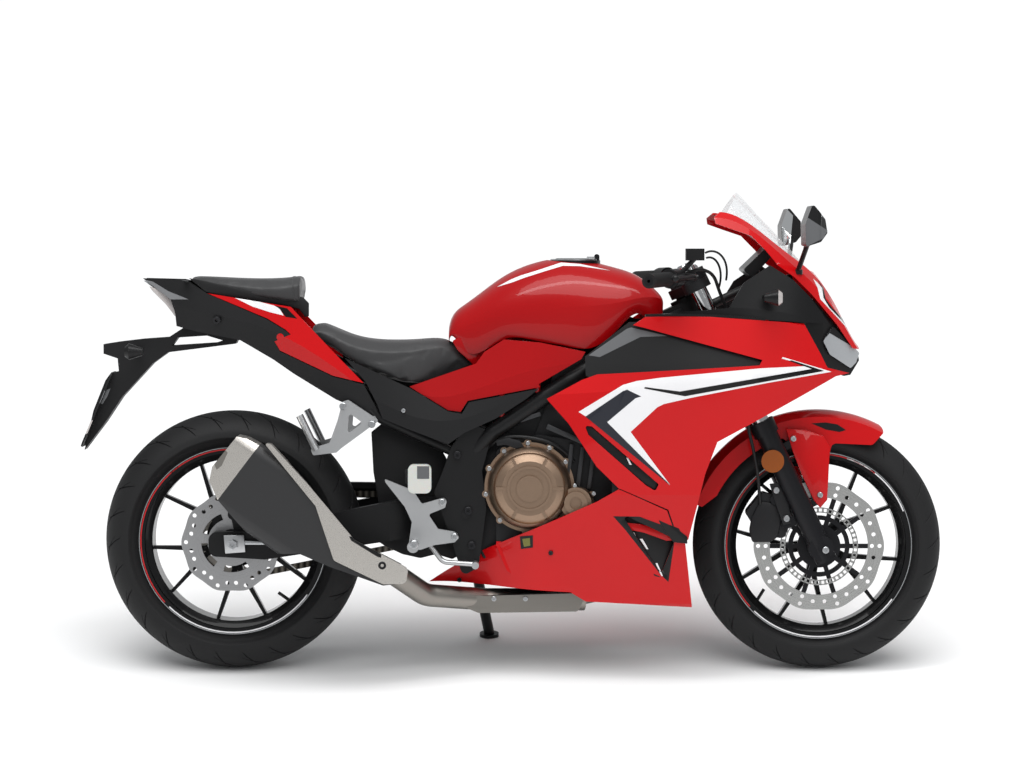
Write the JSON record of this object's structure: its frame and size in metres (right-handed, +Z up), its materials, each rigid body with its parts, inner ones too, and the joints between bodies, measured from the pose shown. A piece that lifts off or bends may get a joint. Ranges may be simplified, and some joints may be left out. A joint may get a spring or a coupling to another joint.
{
  "type": "fully faired sport motorcycle",
  "caption": "Faired sport motorcycle leaning on its side stand, with turning wheels, steering fork, folding stand and hinged fuel cap.",
  "frame": {"origin": "middle of the bounding box of the bike as it leans on its side stand, at the ground", "axes": "+X forward, +Y to the left, where the bike leans, +Z up"},
  "size_m": [2.0745, 0.7684, 1.1628],
  "materials": {
    "tyre_rubber": "matt black tyre rubber",
    "wheel_black": "gloss black painted cast alloy",
    "disc_steel": "ground stainless steel",
    "chain_steel": "oiled steel",
    "black_metal": "satin black painted metal",
    "frame_black": "gloss black painted steel tube",
    "bare_alloy": "cast and machined aluminium",
    "engine_black": "black painted engine castings",
    "bronze_metal": "bronze painted covers",
    "exhaust_steel": "heat-tinted stainless tube",
    "muffler_grey": "dark grey satin painted steel",
    "muffler_silver": "champagne brushed steel",
    "red_paint": "gloss red painted plastic",
    "red_tank": "gloss red painted steel",
    "black_plastic": "grained black plastic",
    "gloss_black": "smooth black plastic",
    "seat_vinyl": "grained black seat vinyl",
    "clear_screen": "clear bubble",
    "lamp_glass": "clear lamp lens",
    "amber_plastic": "amber reflector",
    "grip_rubber": "moulded rubber",
    "white_plastic": "translucent white fluid box",
    "radiator_black": "black painted radiator"
  },
  "bodies": {
    "chassis": {"chain": "chain_steel", "chain_guards": "black_plastic", "engine_block": "engine_black", "engine_covers": "bronze_metal", "exhaust_pipe": "exhaust_steel", "foot_controls": "black_metal", "footpeg_brackets": "bare_alloy", "footpegs": "bare_alloy", "frame": "frame_black", "front_stay": "frame_black", "fuel_cap_ring": "bare_alloy", "fuel_tank": "red_tank", "headlights": "lamp_glass", "indicators": "gloss_black", "inner_cowls": "black_plastic", "instrument_panel": "black_plastic", "lower_cowl_left": "red_paint", "lower_cowl_right": "red_paint", "mirrors": "gloss_black", "muffler": "muffler_grey", "muffler_covers": "muffler_silver", "nose_panel": "gloss_black", "pillion_seat": "seat_vinyl", "plate_bracket": "black_plastic", "radiator": "radiator_black", "rear_caliper": "black_metal", "rear_reservoir": "white_plastic", "rear_shock": "black_metal", "rider_seat": "seat_vinyl", "side_covers": "black_plastic", "side_cowl_left": "red_paint", "side_cowl_right": "red_paint", "swingarm": "frame_black", "tail_cowls": "red_paint", "tail_light": "lamp_glass", "tail_side_panels": "black_plastic", "tank_side_covers": "red_paint", "upper_cowl": "red_paint", "windscreen": "clear_screen"},
    "steering": {"yokes": "black_metal", "fork_tubes": "disc_steel", "fork_legs": "black_metal", "front_caliper": "black_metal", "handlebars": "black_metal", "grips": "grip_rubber", "hand_controls": "gloss_black", "front_mudguard": "red_paint", "mudguard_flap": "black_plastic", "reflectors": "amber_plastic", "front_brake_hose": "grip_rubber"},
    "front_wheel": {"front_tyre": "tyre_rubber", "front_rim": "wheel_black", "front_disc": "disc_steel", "front_disc_carrier": "black_metal"},
    "rear_wheel": {"rear_tyre": "tyre_rubber", "rear_rim": "wheel_black", "rear_disc": "disc_steel", "rear_sprocket": "chain_steel"},
    "side_stand": {"side_stand": "frame_black"},
    "fuel_cap": {"fuel_cap": "bare_alloy"}
  },
  "joints": [
    {"name": "steering_head", "type": "hinge", "parent": "chassis", "child": "steering", "pos_m": [0.43616, -0.02975, 0.83398], "axis": [-0.4305, 0.1567, 0.8889], "range_deg": [-30, 30]},
    {"name": "front_wheel_spin", "type": "hinge", "parent": "steering", "child": "front_wheel", "pos_m": [0.73733, -0.12448, 0.29679], "axis": [0, 0.9848, -0.1736], "continuous": true},
    {"name": "rear_wheel_spin", "type": "hinge", "parent": "chassis", "child": "rear_wheel", "pos_m": [-0.67267, -0.12239, 0.3086], "axis": [0, 0.9848, -0.1736], "continuous": true},
    {"name": "side_stand_fold", "type": "hinge", "parent": "chassis", "child": "side_stand", "pos_m": [-0.09175, -0.0196, 0.21201], "axis": [-0.0406, 0.9147, 0.4022], "range_deg": [0, 82.36]},
    {"name": "fuel_cap_lid", "type": "hinge", "parent": "chassis", "child": "fuel_cap", "pos_m": [0.20425, -0.00374, 0.9815], "axis": [0, 0.9848, -0.1736], "range_deg": [0, 95]}
  ]
}
